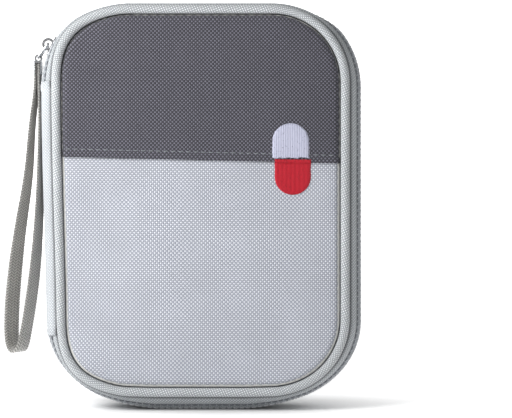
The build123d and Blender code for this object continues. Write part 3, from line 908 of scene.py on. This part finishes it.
# Nylon taffeta, thin and slightly shiny, drawn coarser than real.
lining_cloth = woven("nylon_lining", "#a4a8ae", "#8b9097", "#6a6f76", 0.0004, bump=0.00006,
                     Roughness=0.5, Sheen_Weight=0.1)
linings = {}
for half, (side, body) in SIDES.items():
    foam = face_sheet(f"{half}_foam", PANEL_INSET, FOAM_DEPTH - 0.00005, side, 0.004, foam_board)
    give_thickness(foam, FOAM_THICKNESS - 0.0001)
    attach(foam, body)
    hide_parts(f"{half}_foam_board")
    lining = face_sheet(f"{half}_lining_cloth", PANEL_INSET, LINING_DEPTH - 0.00005, side, 0.002,
                        lining_cloth)
    for vertex in lining.data.vertices:
        x, z = unsettle(vertex.co)
        inside = rim_distance(x, z, PANEL_INSET)
        wave = sin(x / 0.006 + 2 * sin(z / 0.021)) * sin(z / 0.011 + x / 0.03)
        vertex.co.y -= side * 0.00016 * (1 + wave) * smooth(inside / 0.012)
    give_thickness(lining, LINING_THICKNESS)
    linings[half] = lining
    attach(lining, body)
    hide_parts(f"{half}_lining")

# ---- Spine lining, seam bindings and coils ----
# Inside, a strip of lining covers the spine, and a ribbed grosgrain binding covers the raw
# seam round each face. The zip is a reverse coil: its nylon coils lie on the tapes' inside.

spine_lining_quarter = [
    (0.0035, 0.0116), (0.0024, 0.0106), (0.0016, 0.0092), (0.0012, 0.0074), (0.00112, 0.0050),
    (0.00112, 0.0025),
]
spine_lining_line = spine_lining_quarter + [(0.00112, 0.0)]
spine_lining_line += [(i, -d) for i, d in reversed(spine_lining_quarter)]
spine_inside = spine_strip("spine_lining_cloth", thicken(spine_lining_line, 0.0005), SPINE_LOW,
                           SPINE_HIGH, lining_cloth)
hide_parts("spine_lining")
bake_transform(spine_inside)

BINDING_DEPTH = 0.0126        # of its middle
BINDING_HALF = 0.0006
BINDING_INSET = 0.0083        # of its middle
BINDING_REACH = 0.0020
RIB = 0.0009
# Grosgrain ribbon, whose ribs are in the mesh.
grosgrain = woven("polyester_grosgrain", "#a9adb3", "#8a8f96", "#62676e", 0.00045, Roughness=0.7,
                  Sheen_Weight=0.1)


def binding_profile(station):
    """A flat ribbed ribbon's section."""
    swell = 1 + 0.16 * cos(tau * station.along / RIB)
    section = []
    for n in range(14):
        a = tau * n / 14
        across = BINDING_REACH * abs(cos(a)) ** 0.4 * (1 if cos(a) > 0 else -1)
        deep = BINDING_HALF * swell * abs(sin(a)) ** 0.6 * (1 if sin(a) > 0 else -1)
        section.append((BINDING_INSET + across, BINDING_DEPTH + deep * 0.8))
    return section


COIL_PITCH = 0.0013
COIL_WIRE = 0.00022
COIL_INSET = 0.00155          # of its middle
COIL_DEPTH = 0.00118
COIL_END = CORNER_RADIUS * radians(152 - 180) + 0.0008    # by the slider, before the spine
# Nylon monofilament, smooth and even.
coil_nylon, tree, shader = new_material("moulded_nylon", Roughness=0.35)
speck = blotches(tree, 0.001, 0.93, 1.04)
nylon = add(tree, "MixRGB", {"Fac": 1.0, "Color1": linear("#b4b8bb"), "Color2": speck},
            blend_type="MULTIPLY")
finish_with(tree, shader, nylon, speck, 0.00001)


def coil_line(side):
    """The coil's monofilament, wound flat round and round along the tape."""
    stations = outline(COIL_PITCH / 12, spine=False)
    last = stations[-1].along + COIL_END
    line = []
    for station in stations:
        if station.along < last:
            a = tau * station.along / COIL_PITCH + (0 if side < 0 else pi)
            inset = COIL_INSET + 0.00066 * cos(a)
            line.append(place(station, inset, COIL_DEPTH + 0.0008 * sin(a), side))
    return line


def wire(name, line, radius, sides, finish, body):
    """A round wire along a line."""
    rows = []
    for n, point in enumerate(line):
        heading = line[min(n + 1, len(line) - 1)] - line[max(n - 1, 0)]
        cross = heading.cross(Vector((0.02, 1, 0.01))).normalized()
        other = heading.cross(cross).normalized()
        rows.append([point + (cross * cos(tau * k / sides) + other * sin(tau * k / sides)) * radius
                     for k in range(sides)])
    return skin(name, rows, lambda i, j: (j * 0.0002, i * 0.0002), tube=True, finish=finish, body=body)


for half, (side, body) in SIDES.items():
    binding = sweep(f"{half}_binding_ribbon", outline(RIB / 4), binding_profile, side,
                    finish=grosgrain, body=body)
    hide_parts(f"{half}_seam_binding")
    coil = wire(f"{half}_coil", coil_line(side), COIL_WIRE, 6, coil_nylon, body)
    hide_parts(f"{half}_zip_coil")

# ---- Pockets ----
# Two patch pockets with elastic in their top hems: knitted net on the front's lining and plain
# lining cloth on the back's. Both are cut fuller than their seams, so they stand off the lining.

POCKET_WIDTH = 0.084
POCKET_FLOOR = 0.016
POCKET_BACK = 0.0132          # depth where it is sewn to the lining
POCKET_FRONT = 0.0073         # depth of its slack middle
POCKET_TURN = 0.006
HEM_HEIGHT = 0.008
NET_HOLE = 0.0012
POCKET_CELLS = 84             # of the mesh, across a pocket
pockets = {"front": ("mesh_pocket", 0.0800), "back": ("slip_pocket", 0.0560)}


def pocket_depth(x, z):
    """How far from the zip's plane a pocket's cloth lies at a place on it."""
    from_side = min((POCKET_WIDTH / 2 - abs(x)) / POCKET_TURN, 1)
    from_floor = min((z - POCKET_FLOOR) / POCKET_TURN, 1)
    fullness = ((1 - (1 - from_side) ** 2) * (1 - (1 - from_floor) ** 2)) ** 0.5
    slack = 0.0003 * sin(x / 0.0055) * smooth((z - POCKET_FLOOR) / 0.03)
    return POCKET_BACK - (POCKET_BACK - POCKET_FRONT) * fullness + slack * fullness


def net(name, height, side, finish):
    """A knitted net with diamond holes over a pocket."""
    columns = round(POCKET_WIDTH / NET_HOLE)
    up = round(height / NET_HOLE)
    shape = bmesh.new()
    layer = shape.loops.layers.uv.new("weave")
    knots = {}
    for i in range(up + 1):
        for j in range(columns + 1):
            if (i + j) % 2 == 0:
                x = POCKET_WIDTH * (j / columns - 0.5)
                z = POCKET_FLOOR + height * i / up
                knots[i, j] = shape.verts.new((x, side * pocket_depth(x, z), z))
    for i in range(1, up):
        for j in range(1, columns):
            if (i + j) % 2 == 1:
                face = shape.faces.new([knots[i - 1, j], knots[i, j + 1], knots[i + 1, j],
                                        knots[i, j - 1]])
                for corner in face.loops:
                    corner[layer].uv = (corner.vert.co.x, corner.vert.co.z)
    mesh = bpy.data.meshes.new(name)
    shape.to_mesh(mesh)
    shape.free()
    piece = put(name, mesh, finish)
    strands = piece.modifiers.new("strands", "WIREFRAME")
    strands.thickness = 0.0006
    strands.use_boundary = True
    return piece


def hem(name, height, side, finish, body):
    """The elastic turned over a pocket's top edge, gathered into small ruckles."""
    top = POCKET_FLOOR + height
    rows = []
    for i in range(17):
        share = 2 * i / 16 - 1
        z = top - HEM_HEIGHT / 2 + HEM_HEIGHT / 2 * share
        half_thick = 0.0008 * (1 - share ** 6) ** 0.5 + 0.00005
        line = [POCKET_WIDTH * (j / POCKET_CELLS - 0.5) * 0.998 for j in range(POCKET_CELLS + 1)]
        front, back = [], []
        for x in line:
            depth = min(pocket_depth(x, top), POCKET_BACK - 0.0009)
            gather = 0.00012 * sin(tau * x / 0.0021) * (1 - share ** 2)
            front.append(Vector((x, side * (depth - half_thick - gather), z)))
            back.append(Vector((x, side * (depth + half_thick + gather), z)))
        rows.append(front + back[::-1])
    return skin(name, rows, lambda i, j: (min(j, 2 * POCKET_CELLS + 2 - j) * 0.001, i * 0.0005), tube=True,
                finish=finish, body=body)


# Knitted polyester yarn, drawn as fine loops along the strands.
net_yarn, tree, shader = new_material("knitted_polyester_net", Roughness=0.6, Sheen_Weight=0.2)
loops_of_yarn = add(tree, "TexWave", {"Vector": add(tree, "TexCoord", {}).outputs["Object"],
                                      "Scale": 900.0, "Distortion": 2.0})
knit = add(tree, "MixRGB", {"Fac": loops_of_yarn, "Color1": linear("#6d7279"),
                            "Color2": linear("#91969d")})
finish_with(tree, shader, knit, loops_of_yarn, 0.00005)
for half, (side, body) in SIDES.items():
    node, height = pockets[half]
    if half == "front":
        pocket = net("mesh_pocket_net", height - HEM_HEIGHT / 2, side, net_yarn)
    else:
        rows = []
        for i in range(57):
            z = POCKET_FLOOR + (height - HEM_HEIGHT / 2) * i / 56
            across = [POCKET_WIDTH * (j / POCKET_CELLS - 0.5) for j in range(POCKET_CELLS + 1)]
            rows.append([Vector((x, side * pocket_depth(x, z), z)) for x in across])
        pocket = skin("slip_pocket_cloth", rows, lambda i, j: (j * 0.001, i * 0.001),
                      finish=lining_cloth)
        give_thickness(pocket, 0.0005)
    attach(pocket, body)
    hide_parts(node)
    elastic_hem = hem(f"{node}_elastic_hem", height, side, grosgrain, body)
    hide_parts(f"{node}_hem")
    edge = []
    for n in range(100):
        run = n / 99 * (POCKET_WIDTH + 2 * height)
        x = min(max(run - height, 0), POCKET_WIDTH) - POCKET_WIDTH / 2
        z = POCKET_FLOOR + max(height - run, run - height - POCKET_WIDTH, 0)
        edge.append((Vector((x, side * (POCKET_BACK - 0.0001), z)), Vector((0, -side, 0))))
    stitches(f"{node}_seam_stitches", edge, *HEM_STITCH, 0.00045, sewing_thread, body)

# ---- Elastic loops ----
# One ribbed elastic band, sewn down between four loops that each hold a small tube upright,
# on a backing strip of the same elastic.

LOOP_WIDTH = 0.020
LOOP_COUNT = 4
LOOP_LOW = 0.092
LOOP_HIGH = 0.114
LOOP_REACH = 0.0088
ELASTIC = 0.0009
ELASTIC_RIB = 0.0011
# Woven elastic: covered rubber, whose ribs are in the mesh.
elastic_cloth = woven("woven_elastic", "#7d828a", "#666b73", "#464b52", 0.0005, Roughness=0.75,
                      Sheen_Weight=0.15)
band_line = []
for loop in range(LOOP_COUNT):
    middle = (loop - (LOOP_COUNT - 1) / 2) * LOOP_WIDTH
    for n in range(25):
        a = pi * n / 24
        x = middle - (LOOP_WIDTH / 2 - 0.0002) * cos(a)
        band_line.append((x, POCKET_BACK - 0.0020 - (LOOP_REACH - 0.0012) * sin(a) ** 0.8))


def elastic_band(name, line, thickness):
    """A band of elastic along a line of (x, depth) on the back lining, ribbed across."""
    rows = []
    count = 40
    for i in range(count + 1):
        share = 2 * i / count - 1
        z = LOOP_LOW + (LOOP_HIGH - LOOP_LOW) * i / count
        thick = thickness * (0.75 + 0.25 * (1 - share ** 8) ** 0.5)
        thick *= 1 + 0.10 * cos(tau * z / ELASTIC_RIB)
        rows.append([Vector((x, depth, z)) for x, depth in thicken(line, thick)])
    across = lengths(thicken(line, thickness) + line[:1])
    return skin(name, rows, lambda i, j: (across[j], i * 0.00055), tube=True,
                finish=elastic_cloth, body="back_shell")


loops = elastic_band("elastic_loop_band", band_line, ELASTIC)
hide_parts("elastic_loops")
backing_line = [(LOOP_COUNT * LOOP_WIDTH * (n / 60 - 0.5), POCKET_BACK - 0.0011) for n in range(61)]
backing = elastic_band("elastic_backing_band", backing_line, 0.0008)
for seam in range(LOOP_COUNT + 1):
    x = (seam - LOOP_COUNT / 2) * LOOP_WIDTH
    x = min(max(x, -0.0392), 0.0392)
    path = [(Vector((x, POCKET_BACK - 0.0022, LOOP_LOW + 0.001 + 0.0005 * n)), Vector((0, -1, 0)))
            for n in range(41)]
    stitches(f"elastic_seam_stitches_{seam + 1}", path, 0.0019, 0.0024, 0.0005, sewing_thread,
             "back_shell")

# ---- Slider, pull link and clasp ----
# Die-cast zinc, nickel plated and tumbled: bright, with soft edges and faint handling marks.

# Its roughness changes with fine handling marks.
nickel, tree, shader = new_material("nickel_plated_zinc", Metallic=1.0, Roughness=0.22)
place_on_metal = add(tree, "TexCoord", {}).outputs["Object"]
marks = add(tree, "TexNoise", {"Vector": place_on_metal, "Scale": 1 / 0.0009, "Detail": 4.0})
tint = add(tree, "MixRGB", {"Fac": marks, "Color1": linear("#b3b5b8"), "Color2": linear("#dadbdd")})
rubbed = add(tree, "MapRange", {"Value": marks, "To Min": 0.16, "To Max": 0.36})
tree.links.new(rubbed.outputs[0], shader.inputs["Roughness"])
finish_with(tree, shader, tint, marks, 0.00003)
for node in ("slider_body", "pull_link", "strap_clasp"):
    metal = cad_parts[node]
    metal.data.materials.clear()
    metal.data.materials.append(nickel)
    edges = metal.modifiers.new("tumbled_edges", "BEVEL")
    edges.width = 0.00012
    edges.segments = 2
    edges.limit_method = "ANGLE"
    edges.angle_limit = radians(35)

# ---- Floor and light ----
# A matt white floor with painted light: its glowing rises away from the case and is missing under it, which
# paints a contact shadow there. It lies before a bright white wall. A soft light stands high on the left,
# close enough to fall off across the case, and an even white surround fills its shadows.

# Painted light: white acrylic that glows though it is no lamp, its glowing missing under the case as a
# painted contact shadow and rising away from it.
floor_paint, tree, shader = new_material("white_floor_with_painted_glow_and_shadow", Roughness=0.9)
shader.inputs["Base Color"].default_value = linear("#fafafa")
shader.inputs["Emission Color"].default_value = linear("#ffffff")
from_case = add(tree, "VectorMath", {0: add(tree, "Mapping", {
    "Vector": add(tree, "TexCoord", {}).outputs["Object"], "Scale": (1 / 0.042, 1 / 0.020, 0)})},
                operation="LENGTH")
# Painted light: the floor's glowing, left out under the case as a painted contact shadow.
painted_floor_glow = add(tree, "MapRange", {"Value": from_case.outputs["Value"], "From Min": 0.9, "From Max": 2.2,
                              "To Min": 0.0, "To Max": 0.55})
tree.links.new(painted_floor_glow.outputs[0], shader.inputs["Emission Strength"])
# A wall lit so brightly that nothing of it shows.
bright_wall, tree, shader = new_material("bright_white_wall", Roughness=1.0, Emission_Strength=1.1)
shader.inputs["Base Color"].default_value = linear("#fafafa")
shader.inputs["Emission Color"].default_value = linear("#ffffff")
floor = skin("floor", [[Vector((x, y, 0)) for x in (-3, 3)] for y in (-2, 0, 2.6)],
             lambda i, j: (i, j), finish=floor_paint)
wall = skin("wall", [[Vector((x, 2.6, z)) for x in (-3, 3)] for z in (0, 1, 3)],
            lambda i, j: (i, j), finish=bright_wall)


def soft_light(name, place, aim, size, power):
    """A square soft light at a place, turned towards a point."""
    lamp = bpy.data.lights.new(name, "AREA")
    lamp.size = size
    lamp.energy = power
    light = bpy.data.objects.new(name, lamp)
    bpy.context.collection.objects.link(light)
    light.location = place
    light.rotation_euler = (Vector(aim) - Vector(place)).to_track_quat("-Z", "Y").to_euler()


soft_light("key_light", (-0.30, -0.24, 0.30), (0, 0, 0.08), 0.2, 2.2)
world = bpy.data.worlds.new("white_surround")
bpy.context.scene.world = world
world.use_nodes = True
world.node_tree.nodes["Background"].inputs["Color"].default_value = linear("#ffffff")
world.node_tree.nodes["Background"].inputs["Strength"].default_value = 0.26
bpy.context.scene.view_settings.view_transform = "Standard"
